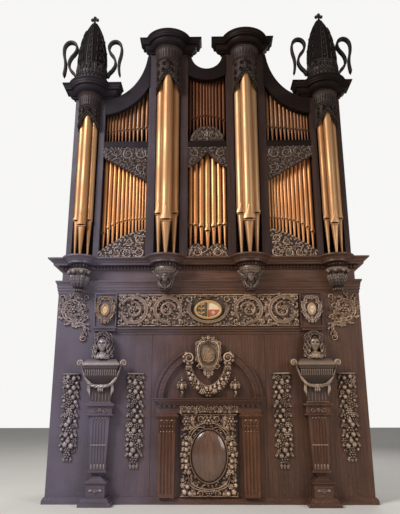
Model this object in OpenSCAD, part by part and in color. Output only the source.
// Pipe organ: a carved oak case on a panelled screen, with four round towers and three flats of
// front pipes. Millimetres, +Z up. The front faces -Y. The origin is on the floor, at the middle
// of the plinth under the front wall, with the wall's face at y = 0.

/* [Lower case] */
// Width of the lower case over its side walls
case_w = 5500; // [5400:10:6200]
// Depth of the case, from the front wall's face to the back wall's back
case_d = 1300; // [900:10:2000]
// Thickness of the oak walls
wall_t = 40; // [30:1:60]
// Height of the plinth under the front wall
plinth_h = 110; // [80:5:140]
// How far the plinth stands out from the walls
plinth_out = 45; // [20:5:60]
// Height from the floor to the underside of the architrave
order_h = 2810; // [2750:10:3200]
// Height of the architrave
architrave_h = 120; // [80:5:160]
// How far the architrave stands out
architrave_out = 60; // [40:5:90]
// Height of the carved band above the architrave
band_h = 630; // [560:10:800]
// Height of the lower cornice
lower_cornice_h = 240; // [180:10:320]
// How far the lower cornice stands out
lower_cornice_out = 60; // [40:5:80]
// Height of the plain frieze under the impost
impost_frieze_h = 200; // [150:10:300]
// How far the plain frieze stands back from the case's sides
frieze_inset = 50; // [20:5:90]
// Height of the impost cornice, on which the pipes stand
impost_h = 200; // [160:10:260]
// How far the impost cornice stands out
impost_out = 230; // [190:5:260]

/* [Screen ornament] */
// Distance of each herm pilaster's middle from the side of the case
herm_inset = 890; // [840:10:960]
// Width of the herm's pedestal at the floor
herm_base_w = 530; // [480:10:600]
// Height of the herm's pedestal
herm_pedestal_h = 450; // [380:10:520]
// Width of the herm's shaft at the top
herm_shaft_w = 340; // [300:10:380]
// Width of the banded block above the shaft
herm_block_w = 410; // [390:10:450]
// How far the herm's shaft stands out from the wall
herm_shaft_out = 150; // [120:5:180]
// Height of the banded block above the shaft
herm_block_h = 210; // [160:10:260]
// Height of the flared capital
herm_capital_h = 615; // [500:10:660]
// Height of the cushion on the capital
herm_cushion_h = 130; // [100:5:150]
// Height of the bust
herm_bust_h = 500; // [450:10:560]
// Height of the ledge over a herm, below the carved panel
herm_ledge_h = 65; // [50:5:90]
// Width of the carved panel over each herm
herald_w = 410; // [380:10:440]
// Gap between the scroll band and the carved panels beside it
scroll_gap = 15; // [10:5:60]
// Distance of each outer fruit drop from its herm
drop_outer_gap = 550; // [530:10:580]
// Distance of each inner fruit drop from its herm
drop_inner_gap = 585; // [560:10:620]
// Length of the outer fruit drops
drop_outer_h = 1470; // [1300:10:1600]
// Length of the inner fruit drops
drop_inner_h = 1590; // [1400:10:1700]
// Width of a fruit drop
drop_w = 290; // [250:10:320]
// Height of the fruit drops' tops
drop_top = 2130; // [2080:10:2180]

/* [Tabernacle] */
// Height of the tabernacle cornice's top
tab_top = 1700; // [1660:10:1760]
// Half the width of the tabernacle cornice
tab_half = 970; // [940:10:990]
// How far the tabernacle cornice stands out
tab_out = 250; // [200:10:280]
// Distance of each tabernacle pilaster's middle from the end of the cornice
tab_pilaster_inset = 255; // [240:5:270]
// Width of a tabernacle pilaster at its top
tab_pilaster_w = 300; // [260:10:320]
// Half the width of the carved oval frame
frame_half = 485; // [460:5:500]
// Half the width of the oval boss
oval_half_w = 305; // [280:5:330]
// Half the height of the oval boss
oval_half_h = 420; // [380:5:450]
// Height of the oval boss's middle
oval_z = 760; // [730:5:780]
// Outer radius of the broken arch
arch_r = 940; // [900:10:950]
// Width of the broken arch's moulding
arch_w = 150; // [120:5:180]
// Half the gap in the middle of the arch
arch_gap = 390; // [360:10:440]
// Radius of the scrolls that end the arch
arch_scroll_r = 92; // [70:2:110]

/* [Upper case] */
// How far the upper case stands in front of the lower wall
overhang = 100; // [60:5:120]
// Width of the middle flat between its posts
flat_mid_w = 760; // [700:10:840]
// How far the upper case stands back from each side of the lower case
upper_inset = 110; // [80:10:200]
// Width of each inner tower between its posts
tower_in_w = 485; // [470:5:520]
// Width of each outer tower between its posts
tower_out_w = 400; // [390:5:420]
// Width of the posts beside the inner towers
post_w = 150; // [130:5:160]
// Width of the post between an outer tower and its flat
post_thin_w = 110; // [90:5:130]
// Width of the outermost post
post_end_w = 95; // [80:5:110]
// Depth of the posts
post_d = 90; // [70:5:110]
// Height of the lower row of flats, from the impost to the middle rail
stage_h = 2270; // [2200:10:2400]
// Height of the middle rail
rail_h = 120; // [90:5:140]
// Height from the impost to the neck of the outer towers
neck_out_h = 3335; // [3300:10:3450]
// Height from the impost to the neck of the inner towers
neck_in_h = 4360; // [4300:10:4500]
// How far the rails of the flats stand in front of the posts
rail_out = 25; // [10:5:40]
// Thickness of the roof boards
roof_t = 25; // [18:1:35]

/* [Tower heads] */
// Distance of a tower's centre in front of the posts' faces
tower_fore = 40; // [20:5:60]
// Height of the tower caps
cap_h = 250; // [220:10:300]
// How far the tower caps stand out
cap_out = 235; // [200:5:250]
// Radius of the ledge under an inner tower
ledge_in_r = 385; // [370:5:400]
// Radius of the ledge under an outer tower
ledge_out_r = 325; // [315:5:345]
// Thickness of the curved tower screens
screen_t = 22; // [16:1:26]
// Height of an inner tower's curved screen at its sides
screen_in_h = 950; // [880:10:1000]
// Height of an outer tower's curved screen at its sides
screen_out_h = 720; // [660:10:780]
// Share of a screen's height that the ogee arch in it rises
screen_rise = 0.36; // [0.28:0.02:0.4]

/* [Mitres] */
// Radius of a mitre at its widest
mitre_r = 275; // [250:5:285]
// Height of a mitre from its circlet to its tip
mitre_h = 1290; // [1150:10:1350]
// Height of the base and circlet under a mitre
circlet_h = 300; // [260:10:360]
// Height of the cross on a mitre
cross_h = 150; // [120:5:180]
// Width of the ribbons beside a mitre
ribbon_w = 110; // [80:5:140]
// Thickness of the ribbons
ribbon_t = 46; // [36:2:56]

/* [Pipes] */
// Radius of the middle pipe of an inner tower
pipe_in_mid_r = 105; // [95:1:108]
// Radius of the side pipes of an inner tower
pipe_in_side_r = 80; // [70:1:82]
// Radius of the middle pipe of an outer tower
pipe_out_mid_r = 80; // [70:1:84]
// Radius of the side pipes of an outer tower
pipe_out_side_r = 63; // [56:1:64]
// Share of its place in the row that a flat's pipe fills
pipe_fill = 0.86; // [0.76:0.01:0.92]
// Number of pipes in each side flat, in either row
side_pipes = 12; // [8:1:14]
// Number of pipes in the middle flat's upper row
mid_upper_pipes = 11; // [9:2:13]
// Number of pipes in the middle flat's lower row
mid_lower_pipes = 7; // [5:2:9]

/* [Hidden] */
$fn = 64;

oak = [0.20, 0.13, 0.10];
oak_carved = [0.27, 0.18, 0.13];
pipe_metal = [0.80, 0.52, 0.28];

// Clearance between pieces that are set side by side without touching
gap = 0.3;
half_w = case_w / 2;
herm_x = half_w - herm_inset;
drop_outer_x = herm_x + drop_outer_gap;
drop_inner_x = herm_x - drop_inner_gap;
scroll_half = herm_x - herald_w / 2 - scroll_gap;
tab_pilaster_x = tab_half - tab_pilaster_inset;

// Levels of the lower case
band_z = order_h + architrave_h;
wall_top = band_z + band_h;
frieze_z = wall_top + lower_cornice_h;
impost_z = frieze_z + impost_frieze_h;
floor_z = impost_z + impost_h;

// Levels of the upper case
rail_z = floor_z + stage_h;
stage2_z = rail_z + rail_h;
neck_out_z = floor_z + neck_out_h;
neck_in_z = floor_z + neck_in_h;

// Places across the upper case, from the middle outwards
mid_half = flat_mid_w / 2;
tower_in_x = mid_half + post_w + tower_in_w / 2;
flat_in_x = mid_half + 2 * post_w + tower_in_w;
upper_half = half_w - upper_inset;
tower_out_x = upper_half - post_end_w - tower_out_w / 2;
flat_out_x = tower_out_x - tower_out_w / 2 - post_thin_w;
flat_side_w = flat_out_x - flat_in_x;

// Planes of the upper case, from front to back
front_y = -overhang;
tower_y = front_y - tower_fore;
post_back_y = front_y + post_d;
rail_back_y = 80;
shade_y = front_y + 10;
shade_t = 25;
pipe_y = 46;
upper_t = 30;

// Profiles, as shares of how far they stand out and of their height, from the bottom upwards
PLINTH = [[1, 0], [1, 0.55], [0.8, 0.62], [0.72, 0.8], [0.35, 0.9], [0.3, 1]];
STEPPED = [
    [0.15, 0], [0.15, 0.2], [0.35, 0.23], [0.35, 0.42], [0.5, 0.45], [0.5, 0.62],
    [0.6, 0.68], [0.72, 0.8], [0.95, 0.86], [1, 0.88], [1, 1]
];
IMPOST = [
    [0.1, 0], [0.22, 0.06], [0.3, 0.15], [0.3, 0.27], [0.24, 0.34], [0.62, 0.36],
    [0.62, 0.56], [0.68, 0.58], [0.72, 0.7], [0.84, 0.8], [0.95, 0.84], [1, 0.88], [1, 1]
];
CAP = [
    [0.16, 0], [0.22, 0.04], [0.22, 0.09], [0.16, 0.13], [0.3, 0.17], [0.46, 0.26],
    [0.56, 0.38], [0.6, 0.5], [0.8, 0.52], [0.8, 0.68], [0.85, 0.7], [0.87, 0.8],
    [0.93, 0.88], [1, 0.92], [1, 1]
];
LEDGE = [[0.2, 0], [0.2, 0.3], [0.5, 0.4], [0.6, 0.6], [1, 0.75], [1, 1]];
CORNICE = [
    [0.3, 0], [0.3, 0.3], [0.42, 0.34], [0.5, 0.5], [0.8, 0.56], [0.8, 0.72],
    [0.9, 0.84], [1, 0.88], [1, 1]
];

function profile(shares, out, h) = [for (s = shares) [s[0] * out, s[1] * h]];
function backwards(list) = [for (i = [len(list) - 1:-1:0]) list[i]];
function mix(a, b, t) = a + (b - a) * t;
function sum_to(list, n) = n <= 0 ? 0 : list[n - 1] + sum_to(list, n - 1);
function ellipse(cx, cz, rx, rz, from, to, steps) =
    [for (i = [0:steps]) let (a = mix(from, to, i / steps)) [cx + rx * cos(a), cz + rz * sin(a)]];

// Draws a shape given in y and z, and runs it along x from the middle to both sides
module along_x(length) {
    rotate([90, 0, 90]) linear_extrude(length, center = true) children();
}

// Draws a shape given in x and z, as seen from the front, from y0 back to y1
module facing(y0, y1) {
    translate([0, y1, 0]) rotate([90, 0, 0]) linear_extrude(y1 - y0) children();
}

// Half a ball on a face that looks forward
module facing_dome(r) {
    rotate([90, 0, 0]) intersection() {
        sphere(r, $fn = 32);
        cylinder(h = 2 * r, r = 2 * r);
    }
}

module both_sides() {
    children();
    mirror([1, 0, 0]) children();
}

module at_towers(xs) {
    for (x = xs) translate([x, 0, 0]) children();
}

// A moulding along the front that also shows its profile on both ends
module front_moulding(points, half, z, face, back) {
    top = points[len(points) - 1][1];
    out = max([for (p = points) p[0]]);
    intersection() {
        along_x(2 * (half + out + 1)) polygon(concat(
            [for (p = points) [face - p[0], z + p[1]]], [[back, z + top], [back, z]]));
        facing(face - out - 1, back) polygon(concat(
            [for (p = points) [half + p[0], z + p[1]]],
            backwards([for (p = points) [-half - p[0], z + p[1]]])));
    }
}

// The same moulding's run along a side wall
module side_moulding(points, half, z, y0, y1, inner) {
    top = points[len(points) - 1][1];
    facing(y0, y1) polygon(concat(
        [for (p = points) [half + p[0], z + p[1]]], [[inner, z + top], [inner, z]]));
}

// The same moulding carried round a tower
module round_moulding(points, r, z) {
    top = points[len(points) - 1][1];
    translate([0, 0, z]) rotate_extrude() polygon(concat(
        [[0, 0]], [for (p = points) [r + p[0], p[1]]], [[0, top]]));
}

module half_space_behind(y) {
    translate([-case_w, y, 0]) cube([2 * case_w, 4 * case_d, 4 * floor_z]);
}

module plinth() {
    color(oak) front_moulding(profile(PLINTH, plinth_out, plinth_h), half_w, 0, 0, wall_t);
}

// The front wall: one face with grooves where its boards meet
board_x = 1000;
groove = 6;
module front_wall() {
    color(oak) translate([0, 0, plinth_h]) linear_extrude(wall_top - plinth_h) difference() {
        translate([-half_w, 0]) square([case_w, wall_t]);
        for (s = [-1, 1]) translate([s * board_x, 0]) polygon([[-groove, -1], [groove, -1], [0, groove]]);
    }
}

// Planes inside the case: the inner faces of the walls beside the frieze and of the back wall
inner_x = half_w - frieze_inset - wall_t;
inner_y = case_d - wall_t;
floor_t = 40;

// A framed side wall: rails and stiles stand 12 mm proud of the panels on the outside
module side_walls() {
    panel = 12;
    frame = 160;
    rows = 3;
    low = plinth_h + frame;
    row_h = (wall_top - low) / rows;
    color(oak) both_sides() {
        difference() {
            facing(wall_t, inner_y) polygon([[half_w - wall_t, 0], [half_w, 0], [half_w, frieze_z],
                [half_w - frieze_inset, frieze_z], [half_w - frieze_inset, impost_z], [inner_x, impost_z],
                [inner_x, frieze_z - wall_t], [half_w - wall_t, frieze_z - wall_t - frieze_inset]]);
            for (i = [0:rows - 1])
                translate([half_w - panel, wall_t + frame, low + i * row_h])
                    cube([panel + 1, inner_y - wall_t - 2 * frame, row_h - frame]);
        }
    }
}

module back_wall() {
    side = [[half_w, 0], [half_w, frieze_z], [half_w - frieze_inset, frieze_z],
        [half_w - frieze_inset, impost_z], [inner_x, impost_z], [inner_x, floor_z - floor_t]];
    color(oak) facing(inner_y, case_d)
        polygon(concat(side, backwards([for (p = side) [-p[0], p[1]]])));
}

module side_mouldings() {
    color(oak) both_sides() {
        side_moulding(profile(PLINTH, plinth_out, plinth_h), half_w, 0, wall_t, case_d, half_w);
        side_moulding(profile(STEPPED, lower_cornice_out, lower_cornice_h), half_w, wall_top,
            wall_t, case_d, half_w);
        side_moulding(profile(IMPOST, impost_out, impost_h), half_w - frieze_inset, impost_z,
            wall_t, case_d, inner_x);
    }
}

module lower_cornice_body() {
    front_moulding(profile(STEPPED, lower_cornice_out, lower_cornice_h), half_w, wall_top, 0, wall_t);
}

module lower_cornice() {
    color(oak) lower_cornice_body();
}

module impost_frieze() {
    color(oak) translate([frieze_inset - half_w, 0, frieze_z])
        cube([case_w - 2 * frieze_inset, wall_t, impost_frieze_h]);
}

module impost_cornice() {
    points = profile(IMPOST, impost_out, impost_h);
    color(oak) difference() {
        union() {
            front_moulding(points, half_w - frieze_inset, impost_z, 0, wall_t);
            at_towers([-tower_in_x, tower_in_x]) translate([0, tower_y, 0])
                round_moulding(points, ledge_in_r - impost_out, impost_z);
            at_towers([-tower_out_x, tower_out_x]) translate([0, tower_y, 0])
                round_moulding(points, ledge_out_r - impost_out, impost_z);
        }
        half_space_behind(wall_t);
    }
}

// The board inside the case that the pipes of the flats stand on
module impost_floor() {
    color(oak) translate([-inner_x, wall_t, floor_z - floor_t])
        cube([2 * inner_x, case_d - wall_t, floor_t]);
}

// Outer console: a leafy bowl that hangs under the ledge and ends in a bead
module consoles_outer() {
    r = ledge_out_r - impost_out + 24;
    h = impost_z - wall_top;
    color(oak_carved) at_towers([-tower_out_x, tower_out_x]) difference() {
        translate([0, tower_y, wall_top]) rotate_extrude() polygon([
            [0, 0], [66, 0], [84, 12], [90, 30], [80, 46], [60, 58], [76, 76], [120, 120],
            [r + 22, h - 230], [r + 34, h - 150], [r + 22, h - 110], [r + 66, h - 84],
            [r + 96, h - 52], [r + 70, h - 26], [r + 10, h - 20], [r, h], [0, h]
        ]);
        half_space_behind(0);
        lower_cornice_body();
    }
}

// Inner console: a tapering corbel with a cherub's head between its wings
module consoles_inner() {
    r = ledge_in_r - impost_out + 40;
    h = impost_z - wall_top;
    head_r = 84;
    color(oak_carved) at_towers([-tower_in_x, tower_in_x]) difference() {
        union() {
            translate([0, tower_y, wall_top]) rotate_extrude() polygon([
                [0, 0], [74, 0], [96, 18], [92, 40], [108, 70], [116, 130], [r - 62, h - 210],
                [r - 34, h - 140], [r + 16, h - 96], [r + 26, h - 60], [r, h - 40], [r, h], [0, h]
            ]);
            translate([0, tower_y - 100, wall_top + h * 0.58]) sphere(head_r);
            both_sides() translate([0, 0, wall_top + h * 0.58]) facing(tower_y - 60, tower_y + 100)
                polygon([[0, -120], [90, -110], [170, 0], [250, 130], [200, 140], [100, 96], [0, 60]]);
        }
        half_space_behind(0);
        lower_cornice_body();
    }
}

// Pedestal with a plinth block, a die and a sloping cap under a short neck
module herm_pedestals() {
    w = herm_base_w / 2;
    out = 330;
    h = herm_pedestal_h;
    base = [[0, 0], [0, 60], [-30, 66], [-34, 90], [-60, 110], [-64, 130], [-110, 134],
        [-110, h - 120], [-90, h - 112], [-76, h - 96], [-76, h - 84], [-110, h - 70],
        [-180, h - 20], [-196, h - 16], [-196, h]];
    color(oak) both_sides() translate([herm_x, 0, 0])
        intersection() {
            along_x(2 * w + 2) polygon(concat(
                [for (p = base) [-out - p[0] * 0.85, p[1]]],
                [[0, h], [0, plinth_h], [-plinth_out - gap, plinth_h], [-plinth_out - gap, 0]]));
            facing(-out - 1, 1) polygon(concat(
                [for (p = base) [w + p[0], p[1]]], backwards([for (p = base) [-w - p[0], p[1]]])));
        }
}

// Flutes: round-ended grooves in a front face, spread over a width
module flutes(count, width, z0, z1, face, r) {
    for (i = [0:count - 1]) {
        x = (i - (count - 1) / 2) * width / count;
        translate([x, face, z0]) cylinder(h = z1 - z0, r = r, $fn = 24);
        translate([x, face, z1]) sphere(r, $fn = 24);
    }
}

herm_top_z = band_z - herm_ledge_h;
herm_block_z = herm_top_z - herm_bust_h - herm_cushion_h - herm_capital_h - herm_block_h;
// Tapering fluted shaft between a base ring and the block with two bands
module herm_shafts() {
    z0 = herm_pedestal_h;
    ring = 60;
    base = z0 + ring;
    top = herm_shaft_w / 2;
    foot = top - 38;
    color(oak) both_sides() translate([herm_x, 0, 0]) difference() {
        union() {
            facing(-herm_shaft_out + 50, 0) polygon([[-90, z0], [90, z0], [90, base], [-90, base]]);
            facing(-herm_shaft_out - 30, 0) polygon([[-foot - 24, base], [foot + 24, base],
                [foot + 20, base + 34], [-foot - 20, base + 34]]);
            facing(-herm_shaft_out, 0)
                polygon([[-foot, base], [foot, base], [top, herm_block_z], [-top, herm_block_z]]);
            front_moulding([[20, 0], [38, 8], [38, 26], [10, 34], [0, 40], [0, herm_block_h - 64],
                [12, herm_block_h - 54], [44, herm_block_h - 44], [44, herm_block_h - 20],
                [20, herm_block_h]], herm_block_w / 2, herm_block_z, -herm_shaft_out, 0);
        }
        flutes(5, 2 * foot - 20, base + 70, herm_block_z - 60, -herm_shaft_out, 11);
    }
}

// Flared capital with its cushion, the side scrolls and the cloth hung between them
module herm_capitals() {
    z0 = herm_block_z + herm_block_h;
    h = herm_capital_h;
    cushion = [[50, 0], [66, 10], [72, 30], [66, 50], [40, 80], [4, 110], [0, herm_cushion_h]];
    scroll_x = 375;
    scroll_r = 56;
    color(oak_carved) both_sides() translate([herm_x, 0, 0]) {
        front_moulding([[0, 0], [4, 80], [16, 200], [26, 300], [58, 380], [96, 460], [110, h - 50],
            [124, h - 40], [124, h]], 170, z0, -130, 0);
        front_moulding(cushion, 245, z0 + h, -190, 0);
        both_sides() {
            facing(-180, 0) translate([scroll_x, z0 + h + 84]) difference() {
                circle(scroll_r);
                translate([14, 6]) circle(scroll_r / 3, $fn = 32);
            }
            facing(-150, 0) polygon([[240, z0 + h + 20], [scroll_x - 20, z0 + h + 36],
                [scroll_x, z0 + h + 90], [250, z0 + h + 70]]);
        }
        cloth = concat(ellipse(0, z0 + h, 350, 330, 186, 354, 22), ellipse(0, z0 + h, 306, 262, 354, 186, 22));
        facing(-225, -150) polygon(cloth);
    }
}

// Shoulders, neck and head with locks of hair on both sides
module herm_busts() {
    z0 = herm_top_z - herm_bust_h;
    head = herm_bust_h - 210;
    color(oak_carved) both_sides() translate([herm_x, -130, z0]) {
        rotate_extrude() polygon(concat([[0, 0], [120, 0], [118, 30], [104, 70], [62, 112], [52, 160]],
            ellipse(0, 150 + head / 2, 92, head / 2, -50, 78, 12), [[0, herm_bust_h - 62]]));
        translate([0, 10, herm_bust_h - 66]) cylinder(h = 66, r1 = 96, r2 = 60);
        for (s = [-1, 1], i = [0:4])
            translate([s * (96 + 14 * i), 20, herm_bust_h - 130 - 58 * i]) sphere(46, $fn = 32);
    }
}

// A hanging drop of fruit, from a ribbon bar at the top to a pointed end
module fruit_drop(x, h) {
    w = drop_w / 2;
    bar = 34;
    pitch = 72;
    count = floor((h - 220) / pitch);
    function half_at(t) = w * mix(0.9, 0.5, pow(t, 3));
    edge = [for (i = [0:24]) let (t = i / 24) [half_at(t) + w * 0.1 * sin(360 * 5 * t), -bar - (h - 100) * t]];
    translate([x, 0, drop_top]) {
        facing(-60, 0) polygon([[-w, 0], [10 - w, -bar], [w - 10, -bar], [w, 0]]);
        facing(-26, 0) polygon(concat(edge, [[0, -h]], backwards([for (p = edge) [-p[0], p[1]]])));
        for (i = [0:count])
            let (e = half_at(i / count))
                translate([(i % 2 * 2 - 1) * e * 0.42, -26, -96 - i * pitch])
                    facing_dome(e * 0.4);
    }
}

module fruit_drops() {
    color(oak_carved) both_sides() {
        fruit_drop(drop_outer_x, drop_outer_h);
        fruit_drop(drop_inner_x, drop_inner_h);
    }
}

// The architrave between the herms, and a thinner ledge that breaks forward over each of them
module architrave() {
    half = herm_x - herald_w / 2 + 30;
    color(oak) {
        front_moulding(profile(LEDGE, architrave_out, architrave_h), half - architrave_out, order_h, 0, 0.1);
        both_sides() translate([herm_x, 0, 0])
            front_moulding(profile(LEDGE, 30, herm_ledge_h), herald_w / 2 - 20, herm_top_z, -80, 0.1);
    }
}

// One scroll of the band: a stem that winds inwards, drawn as its outline
module spiral(r, turns, w) {
    steps = 30;
    outer = [for (i = [0:steps]) let (t = i / steps, a = 360 * turns * t, q = mix(r, r * 0.2, t)) [q * cos(a), q * sin(a)]];
    inner = [for (i = [0:steps]) let (t = i / steps, a = 360 * turns * t, q = mix(r, r * 0.2, t) - mix(w, w * 0.4, t))
        [q * cos(a), q * sin(a)]];
    polygon(concat(outer, backwards(inner)));
}

// Carved band with four scrolls that turn in pairs about an oval field
module scroll_band() {
    mid = band_z + band_h / 2;
    r = band_h * 0.42;
    field = [scroll_half * 0.17, band_h * 0.26];
    color(oak_carved) {
        translate([-scroll_half, -14, band_z + 24]) cube([2 * scroll_half, 14, band_h - 48]);
        both_sides() {
            for (i = [0:1]) facing(-50, -14) translate([scroll_half - r * (1.05 + 2.1 * i), mid])
                mirror([0, i, 0]) rotate(i * 20) spiral(r, 1.4, 46);
        }
        facing(-64, -14) polygon(ellipse(0, mid, field[0] + 26, field[1] + 26, 0, 352, 44));
        intersection() {
            facing(-90, -64) polygon(ellipse(0, mid, field[0], field[1], 0, 352, 44));
            translate([0, 520, mid]) sphere(610, $fn = 160);
        }
    }
}

// Framed panels with a small shield, over the herms
module herald_panels() {
    mid = band_z + band_h / 2;
    w = herald_w / 2;
    color(oak_carved) both_sides() translate([herm_x, 0, 0]) {
        difference() {
            translate([-w, -64, band_z]) cube([herald_w, 64, band_h]);
            translate([-w + 26, -65, band_z + 26]) cube([herald_w - 52, 24, band_h - 52]);
        }
        facing(-84, -41) polygon([[0, mid - 250], [-60, mid - 210], [-90, mid - 110], [-160, mid - 70],
            [-170, mid + 60], [-120, mid + 120], [-110, mid + 190], [0, mid + 230], [110, mid + 190],
            [120, mid + 120], [170, mid + 60], [160, mid - 70], [90, mid - 110], [60, mid - 210]]);
        intersection() {
            facing(-120, -84) polygon(ellipse(0, mid, 84, 120, 0, 352, 44));
            translate([0, 120, mid]) sphere(226);
        }
    }
}

// Leaf brackets in the upper corners: a round leaf whose tail runs down to a curl
module corner_brackets() {
    top = wall_top - 14;
    outer = half_w - 10;
    w = outer - herm_x - herald_w / 2 - 80;
    inner = outer - w;
    color(oak_carved) both_sides() facing(-36, 0) translate([inner, top]) {
        polygon(concat([[0, 0], [0.82 * w, 0]],
            ellipse(0.53 * w, -0.47 * w, 0.47 * w, 0.47 * w, 56, -90, 20),
            [[0.32 * w, -0.98 * w], [0.17 * w, -1.06 * w], [0.1 * w, -1.3 * w],
            [0.05 * w, -1.1 * w], [0.03 * w, -0.8 * w]]));
        translate([0.17 * w, -1.35 * w]) circle(0.11 * w, $fn = 40);
    }
}

tab_h = 250;
tab_pilaster_top = tab_top - tab_h;
// Pilasters of the tabernacle: moulded caps on shafts that taper downwards
module tabernacle_pilasters() {
    w = tab_pilaster_w / 2;
    cap = 90;
    out = 110;
    color(oak) both_sides() translate([tab_pilaster_x, 0, 0]) difference() {
        union() {
            front_moulding([[4, 0], [26, 20], [50, 40], [50, 56], [10, cap]], w, tab_pilaster_top - cap, -out, 0);
            facing(-out, 0) polygon([[22 - w, plinth_h], [w - 22, plinth_h],
                [w, tab_pilaster_top - cap], [-w, tab_pilaster_top - cap]]);
        }
        flutes(4, 2 * w - 70, plinth_h + 60, tab_pilaster_top - cap - 60, -out, 13);
    }
}

// Entablature of the tabernacle, with dentil blocks under its cornice
module tabernacle_cornice() {
    z0 = tab_pilaster_top;
    color(oak) {
        front_moulding(profile(CORNICE, tab_out - 100, 110), tab_half - tab_out + 100, tab_top - 110, -100, 0);
        translate([-tab_half + 70, -100, z0]) cube([2 * tab_half - 140, 100, tab_h - 110]);
        both_sides() for (i = [0:3])
            translate([tab_pilaster_x - 150 + i * 84, -132, tab_top - 150]) cube([48, 32, 40]);
    }
}

// The broken arch: two lengths of a round moulding that end in scrolls
arch_z = tab_top - 40;
arch_in_r = arch_r - arch_w;
arch_scroll_x = arch_gap - 50;
arch_scroll_z = arch_z + sqrt(pow(arch_in_r + 10, 2) - pow(arch_scroll_x, 2));
module broken_arch() {
    steps = [[0, 84], [arch_w * 0.22, 60], [arch_w * 0.75, 74]];
    color(oak) {
        intersection() {
            union() for (i = [0:2]) facing(-steps[i][1], 0) translate([0, arch_z]) difference() {
                circle(arch_r - steps[i][0], $fn = 192);
                circle(i < 2 ? arch_r - steps[i + 1][0] : arch_in_r, $fn = 192);
            }
            both_sides() translate([arch_gap, -100, tab_top]) cube([arch_r, 100, arch_r]);
        }
        both_sides() facing(-96, 0) translate([arch_scroll_x, arch_scroll_z]) circle(arch_scroll_r);
    }
}

// Oval cartouche with scrolled shoulders
module cartouche() {
    mid = tab_top + 700;
    color(oak_carved) {
        facing(-70, 0) polygon([[0, mid - 380], [-60, mid - 330], [-70, mid - 240], [-150, mid - 200],
            [-190, mid - 90], [-220, mid + 60], [-190, mid + 190], [-100, mid + 240], [-110, mid + 320],
            [0, mid + 350], [110, mid + 320], [100, mid + 240], [190, mid + 190], [220, mid + 60],
            [190, mid - 90], [150, mid - 200], [70, mid - 240], [60, mid - 330]]);
        intersection() {
            facing(-120, -70) polygon(ellipse(0, mid + 20, 150, 185, 0, 352, 44));
            translate([0, 290, mid + 20]) sphere(410);
        }
    }
}

// Swag of fruit under the cartouche, with a tasselled drop at either end
module garland() {
    r = arch_scroll_x + 20;
    z = arch_scroll_z - 230;
    span = 88;
    fruit = 9;
    tassel_x = arch_in_r - 325;
    color(oak_carved) difference() {
        union() {
            facing(-62, 0) translate([0, z]) difference() {
                circle(r + 44, $fn = 96);
                circle(r - 44, $fn = 96);
                translate([-r * 2, 14]) square([r * 4, r * 2]);
            }
            for (i = [0:fruit - 1])
                let (a = mix(span, -span, i / (fruit - 1)) - 90, s = mix(70, 52, abs(2 * i / (fruit - 1) - 1)))
                    translate([r * cos(a), -74, z + r * sin(a)]) sphere(s, $fn = 32);
            both_sides() translate([tassel_x, -44, tab_top + 12]) rotate_extrude() polygon([[0, 0],
                [14, 12], [44, 70], [56, 150], [50, 200], [26, 232], [34, 262], [14, 290], [0, 296]]);
        }
        half_space_behind(0);
    }
}

// Carved frame with an oval opening
module oval_frame() {
    z0 = plinth_h + 6;
    z1 = tab_pilaster_top - 16;
    color(oak_carved) facing(-46, 0) difference() {
        polygon([[-frame_half, z0], [frame_half, z0], [frame_half, z1], [-frame_half, z1]]);
        polygon(ellipse(0, oval_z, oval_half_w + gap, oval_half_h + gap, 0, 352, 44));
    }
}

module oval_boss() {
    r = 1400;
    color(oak) intersection() {
        facing(-90, 0) polygon(ellipse(0, oval_z, oval_half_w, oval_half_h, 0, 352, 44));
        translate([0, r - 88, oval_z]) sphere(r, $fn = 160);
    }
}

// One post, standing on the impost floor or its cornice
module post(x0, w, h) {
    color(oak) translate([x0, front_y, floor_z]) cube([w, post_d, h]);
}

module posts() {
    both_sides() {
        post(mid_half, post_w, neck_in_h);
        post(flat_in_x - post_w, post_w, neck_in_h);
        post(flat_out_x, post_thin_w, neck_out_h);
        post(upper_half - post_end_w, post_end_w, neck_out_h);
    }
}

module rail(x0, x1) {
    translate([x0, front_y - rail_out + 20, rail_z])
        cube([x1 - x0, rail_back_y - front_y + rail_out - 20, rail_h]);
}

module middle_rails() {
    color(oak) {
        rail(-mid_half, mid_half);
        both_sides() rail(flat_in_x, flat_out_x);
    }
}

// Curves of the side flats' tops, as quarter ellipses that rise to the inner tower
sweep_top_w = flat_side_w - 30;
sweep_top_h = neck_in_z - neck_out_z + 140;
sweep_low_w = flat_side_w * 1.3;
sweep_low_h = 1280;
function sweep_top(x) = neck_out_z + sweep_top_h
    * (1 - sqrt(max(0, 1 - pow((flat_out_x - x) / sweep_top_w, 2))));
function sweep_low(x) = neck_out_z - 365 + sweep_low_h
    * (1 - sqrt(max(0, 1 - pow((flat_out_x + 115 - x) / sweep_low_w, 2))));
sweep_steps = 20;
sweep_x = [for (i = [0:sweep_steps]) mix(flat_out_x, flat_in_x, sin(90 * i / sweep_steps))];
function below_neck(z) = min(z, neck_in_z - roof_t);

module top_rails() {
    sweep_rails();
    dip_rail();
}

module sweep_rails() {
    color(oak) both_sides() facing(front_y - rail_out, post_back_y) polygon(concat(
        [for (x = sweep_x) [x, sweep_low(x)]],
        backwards([for (x = sweep_x) [x, below_neck(sweep_top(x))]])));
}

// The middle flat's top: a deep round dip over a shallow curve
dip_r = mid_half - 70;
dip_z = neck_in_z - 40;
dip_low_r = 660;
dip_low_z = dip_z - dip_r - 260 + dip_low_r;
module dip_rail() {
    color(oak) facing(front_y - rail_out, post_back_y) difference() {
        intersection() {
            translate([-mid_half, dip_z - 900]) square([flat_mid_w, 900]);
            translate([0, dip_low_z]) circle(dip_low_r, $fn = 96);
        }
        translate([0, dip_z]) circle(dip_r);
    }
}

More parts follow.
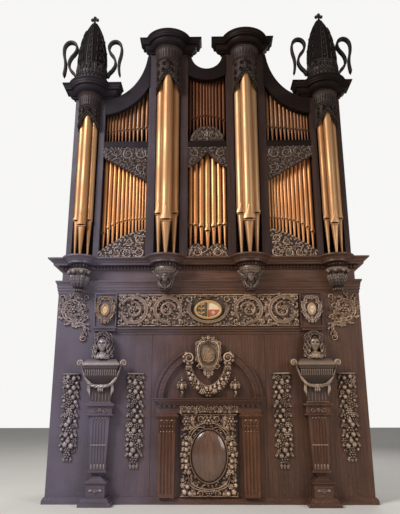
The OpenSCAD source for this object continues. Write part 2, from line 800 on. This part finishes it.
// An organ pipe: a pointed foot, a mouth with flattened lips, and a round body
module organ_pipe(r, mouth, foot, top) {
    foot_h = mouth - foot;
    tip = r * 0.2;
    flat = r * 0.24;
    lip = r * 0.62;
    slot = r * 0.3;
    upper = r * 3.4;
    lower = min(r * 2.2, foot_h * 0.5);
    // The cut starts a little outside the pipe, so that its planes cross the surface cleanly
    past = 2;
    upper_past = upper + past * (upper - slot) / flat;
    flat_top = [flat - r, mouth];
    flat_foot = flat_top + 1.15 * [(r - tip) * lower / foot_h - flat, -lower];
    difference() {
        rotate_extrude() polygon([[0, foot], [tip, foot], [r, mouth], [r, top], [0, top]]);
        along_x(2 * r + 2) polygon([[-r - past, mouth + upper_past], [flat - r, mouth + slot],
            flat_top, flat_foot, [-r - past, flat_foot[1]]]);
        translate([-lip, -r, mouth]) cube([2 * lip, r * 0.7, slot]);
    }
}

// Widths of the places in a row of pipes: each is the last one times ratio
function row_places(count, width, ratio) =
    let (shares = [for (i = [0:count - 1]) pow(ratio, i)], all = sum_to(shares, count))
    [for (s = shares) s * width / all];
// The same about the middle of the row
function even_places(count, width, ratio) =
    let (shares = [for (i = [0:count - 1]) pow(ratio, abs(i - (count - 1) / 2))], all = sum_to(shares, count))
    [for (s = shares) s * width / all];

module tower_pipes(mid_r, side_r, half_open, mouth, mouth_rise, top, top_fall) {
    back = half_open - side_r - 20;
    reach = mid_r + side_r + 3;
    mid_y = tower_y - (half_open - screen_t - mid_r - 8);
    translate([0, mid_y, 0]) organ_pipe(mid_r, mouth, floor_z, top);
    for (s = [-1, 1]) translate([s * back, mid_y + sqrt(reach * reach - back * back), 0])
        organ_pipe(side_r, mouth + mouth_rise, floor_z, top - top_fall);
}

module tower_pipes_inner() {
    color(pipe_metal) at_towers([-tower_in_x, tower_in_x])
        tower_pipes(pipe_in_mid_r, pipe_in_side_r, tower_in_w / 2, floor_z + 670, 165,
            neck_in_z - 400, 170);
}

module tower_pipes_outer() {
    color(pipe_metal) at_towers([-tower_out_x, tower_out_x])
        tower_pipes(pipe_out_mid_r, pipe_out_side_r, tower_out_w / 2, floor_z + 590, 120,
            neck_out_z - 330, 120);
}

// Long pipes stand beside the outer tower, and the mouths rise in a curve towards the middle
module side_pipes_lower() {
    places = row_places(side_pipes, flat_side_w, 0.95);
    color(pipe_metal) both_sides() for (i = [0:side_pipes - 1]) {
        x = flat_out_x - sum_to(places, i) - places[i] / 2;
        organ_x(x) organ_pipe(places[i] / 2 * pipe_fill, floor_z + 820 - 290 * pow(0.68, i), floor_z,
            shade_low(x) + 60);
    }
}

module organ_x(x) { translate([x, pipe_y, 0]) children(); }

module side_pipes_upper() {
    places = row_places(side_pipes, flat_side_w, 1.05);
    color(pipe_metal) both_sides() for (i = [0:side_pipes - 1]) {
        x = flat_out_x - sum_to(places, i) - places[i] / 2;
        organ_x(x) organ_pipe(places[i] / 2 * pipe_fill, stage2_z + mix(265, 350, i / (side_pipes - 1)),
            stage2_z, sweep_low(x) + 90);
    }
}

module middle_pipes_lower() {
    places = even_places(mid_lower_pipes, flat_mid_w, 0.93);
    color(pipe_metal) for (i = [0:mid_lower_pipes - 1]) {
        x = sum_to(places, i) + places[i] / 2 - mid_half;
        organ_x(x) organ_pipe(places[i] / 2 * pipe_fill, floor_z + 680 - 120 * pow(1 - abs(x) / mid_half, 3),
            floor_z, ogee(x) + 50);
    }
}

module middle_pipes_upper() {
    places = even_places(mid_upper_pipes, flat_mid_w, 1.07);
    color(pipe_metal) for (i = [0:mid_upper_pipes - 1]) {
        x = sum_to(places, i) + places[i] / 2 - mid_half;
        organ_x(x) organ_pipe(places[i] / 2 * pipe_fill, stage2_z + 615 - 130 * pow(x / mid_half, 2),
            stage2_z, dip_low_z - dip_low_r + 160);
    }
}

// Curved screen at the head of a tower, cut below in an ogee arch
module tower_screen(half_open, z, h) {
    r = half_open;
    rise = screen_rise * h;
    arch = concat([[-r - 90, z - h - 1]], [for (i = [-10:10]) let (t = i / 10)
        [t * r, z - h + rise * (1 - pow(abs(t), 1.25))]], [[r + 90, z - h - 1]]);
    difference() {
        rotate_extrude() polygon([[r - screen_t, z - h], [r, z - h], [r, z - 300], [r + 6, z - 290],
            [r + 6, z - 270], [r, z - 260], [r + 2, z - 160], [r + 12, z - 80], [r + 34, z - 24],
            [r + 34, z], [r - screen_t, z]]);
        translate([-r - 100, 0, z - h - 1]) cube([2 * r + 200, r + 100, h + 2]);
        facing(-r - 50, 1) polygon(arch);
    }
    for (s = [-1, 1]) translate([s * (r - 4) - 16, 0, z - h]) cube([32, tower_fore, h]);
}

module tower_screens() {
    color(oak_carved) translate([0, tower_y, 0]) {
        at_towers([-tower_in_x, tower_in_x]) tower_screen(tower_in_w / 2, neck_in_z, screen_in_h);
        at_towers([-tower_out_x, tower_out_x]) tower_screen(tower_out_w / 2, neck_out_z, screen_out_h);
    }
}

// Lower edges of the shades that hang in the lower flats
function shade_low(x) = mix(rail_z - 730, rail_z - 213, (x - flat_in_x) / flat_side_w);
function ogee(x) = rail_z - 445 + 335 * pow(1 - abs(x) / mid_half, 1.6);

module pipe_shades() {
    color(oak_carved) {
        head_shades();
        foot_shades();
    }
}

module head_shades() {
    union() {
        both_sides() facing(shade_y, shade_y + shade_t) polygon([[flat_in_x, rail_z],
            [flat_in_x, shade_low(flat_in_x)], [flat_out_x, shade_low(flat_out_x)], [flat_out_x, rail_z]]);
        facing(shade_y, shade_y + shade_t) polygon(concat([[-mid_half, rail_z]],
            [for (i = [-12:12]) [mid_half * i / 12, ogee(mid_half * i / 12)]], [[mid_half, rail_z]]));
    }
}

// Shades that stand on the impost, and the round one on the middle rail
module foot_shades() {
    union() {
        both_sides() facing(shade_y, shade_y + shade_t) polygon(concat(
            [[flat_out_x, floor_z], [flat_in_x, floor_z]],
            [for (i = [0:10]) [mix(flat_in_x, flat_out_x, i / 10),
                floor_z + 580 - 440 * pow(i / 10, 1.5)]]));
        facing(shade_y, shade_y + shade_t) polygon(concat([[-mid_half, floor_z], [mid_half, floor_z]],
            ellipse(mid_half / 2, floor_z + 110, mid_half / 2, 180, 0, 180, 12),
            ellipse(-mid_half / 2, floor_z + 110, mid_half / 2, 180, 0, 180, 12)));
        facing(shade_y, shade_y + shade_t) translate([0, stage2_z]) intersection() {
            circle(mid_half * 0.88);
            translate([-mid_half, 0]) square([flat_mid_w, mid_half]);
        }
    }
}

// Moulded cap over a tower: straight over the posts, from x0 to x1, and round over the pipes
module tower_cap(x, half_open, x0, x1, z) {
    points = profile(CAP, cap_out, cap_h);
    difference() {
        union() {
            translate([(x0 + x1) / 2, 0, 0]) front_moulding(points, (x1 - x0) / 2, z, front_y, post_back_y);
            translate([x, tower_y, 0]) round_moulding(points, half_open, z);
        }
        half_space_behind(post_back_y);
    }
}

// The caps reach a little past the posts over the middle flat and over the side flats
cap_reach = 45;
cap_reach_side = 100;
module tower_caps() {
    color(oak) both_sides() {
        tower_cap(tower_in_x, tower_in_w / 2, mid_half - cap_reach, flat_in_x - cap_reach, neck_in_z);
        tower_cap(tower_out_x, tower_out_w / 2, flat_out_x - cap_reach_side, upper_half, neck_out_z);
    }
}

mitre_z = neck_out_z + cap_h;
// A mitre on its stepped base and circlet, with a cross of balls at the tip
module mitres() {
    r = mitre_r;
    c = circlet_h;
    color(oak_carved) at_towers([-tower_out_x, tower_out_x]) translate([0, tower_y, mitre_z]) {
        rotate_extrude() polygon(concat(
            [[0, 0], [r + 5, 0], [r + 5, 40], [r - 24, 56], [r - 34, 80], [r - 30, 110], [r - 4, c - 150],
            [r + 14, c - 140], [r + 20, c - 60], [r + 26, c - 40], [r + 4, c - 20], [r - 20, c]],
            [for (i = [1:16]) let (t = i / 16)
                [r * (1 - pow(t, 3.2)) * (0.96 + 0.05 * sin(180 * min(1, 2 * t))) + 8, c + (mitre_h - 20) * t]],
            [[0, c + mitre_h - 10]]));
        translate([0, 0, c + mitre_h - 40]) cylinder(h = cross_h - 10, r = 14, $fn = 24);
        for (p = [[-52, 64], [52, 64], [0, 112]])
            translate([p[0], 0, c + mitre_h - 40 + p[1]]) sphere(38, $fn = 32);
    }
}

// Route of a ribbon, from the circlet up and over and down again, about the mitre's axis
RIBBON = [
    [mitre_r + 19.5 + ribbon_t / 2, -61], [mitre_r + 62, -36], [365, 20], [425, 90],
    [474, 190], [474, 300], [434, 400], [376, 480], [338, 560], [334, 650], [374, 730], [448, 768],
    [528, 746], [584, 664], [598, 550], [586, 430], [560, 320], [548, 200], [554, 90], [568, -10]
];
function ribbon_side(i, s) =
    let (a = RIBBON[max(0, i - 1)], b = RIBBON[min(len(RIBBON) - 1, i + 1)], d = b - a,
        n = [-d[1], d[0]] / norm(d))
    RIBBON[i] + n * s * ribbon_t / 2;

module mitre_ribbons() {
    color(oak_carved) at_towers([-tower_out_x, tower_out_x]) both_sides()
        translate([0, 0, mitre_z + circlet_h]) facing(tower_y - ribbon_w / 2, tower_y + ribbon_w / 2)
            union() for (i = [0:len(RIBBON) - 2])
                polygon([ribbon_side(i, 1), ribbon_side(i + 1, 1), ribbon_side(i + 1, -1), ribbon_side(i, -1)]);
}

module upper_sides() {
    color(oak) both_sides() translate([upper_half - upper_t, post_back_y, floor_z])
        cube([upper_t, case_d - post_back_y - wall_t, neck_out_h - roof_t]);
}

// Outline of one side's sweep, from the outer tower's roof up to the inner tower's, lowered by t
sweep_mid_z = neck_out_z + sweep_top_h;
function sweep_arc(t) =
    let (h = sweep_top_h + t, end = 180 + asin((sweep_mid_z - neck_in_z + t) / h))
    ellipse(flat_out_x, sweep_mid_z, sweep_top_w + t, h, 270, end, 14);

// Top of the case's back half, as seen from the front, from the middle to the right, lowered by t
function roof_line(t) = concat(
    ellipse(0, dip_z, dip_r + t, dip_r + t, 270, 360, 12),
    [[dip_r + t, neck_in_z - t]], backwards(sweep_arc(t)), [[upper_half, neck_out_z - t]]);
// The same from the left side to the right
function whole_line(line) = concat([for (i = [len(line) - 1:-1:1]) [-line[i][0], line[i][1]]], line);

module upper_back() {
    color(oak) facing(inner_y, case_d) polygon(concat(
        [[upper_half, floor_z], [-upper_half, floor_z]], whole_line(roof_line(0))));
}

module roof() {
    color(oak) facing(post_back_y, inner_y)
        polygon(concat(whole_line(roof_line(0)), backwards(whole_line(roof_line(roof_t)))));
}

plinth();
front_wall();
side_walls();
back_wall();
side_mouldings();
lower_cornice();
impost_frieze();
impost_cornice();
impost_floor();
consoles_outer();
consoles_inner();
herm_pedestals();
herm_shafts();
herm_capitals();
herm_busts();
fruit_drops();
architrave();
scroll_band();
herald_panels();
corner_brackets();
tabernacle_pilasters();
tabernacle_cornice();
broken_arch();
cartouche();
garland();
oval_frame();
oval_boss();
posts();
middle_rails();
top_rails();
tower_pipes_outer();
tower_pipes_inner();
side_pipes_lower();
side_pipes_upper();
middle_pipes_lower();
middle_pipes_upper();
tower_screens();
pipe_shades();
tower_caps();
mitres();
mitre_ribbons();
upper_sides();
upper_back();
roof();
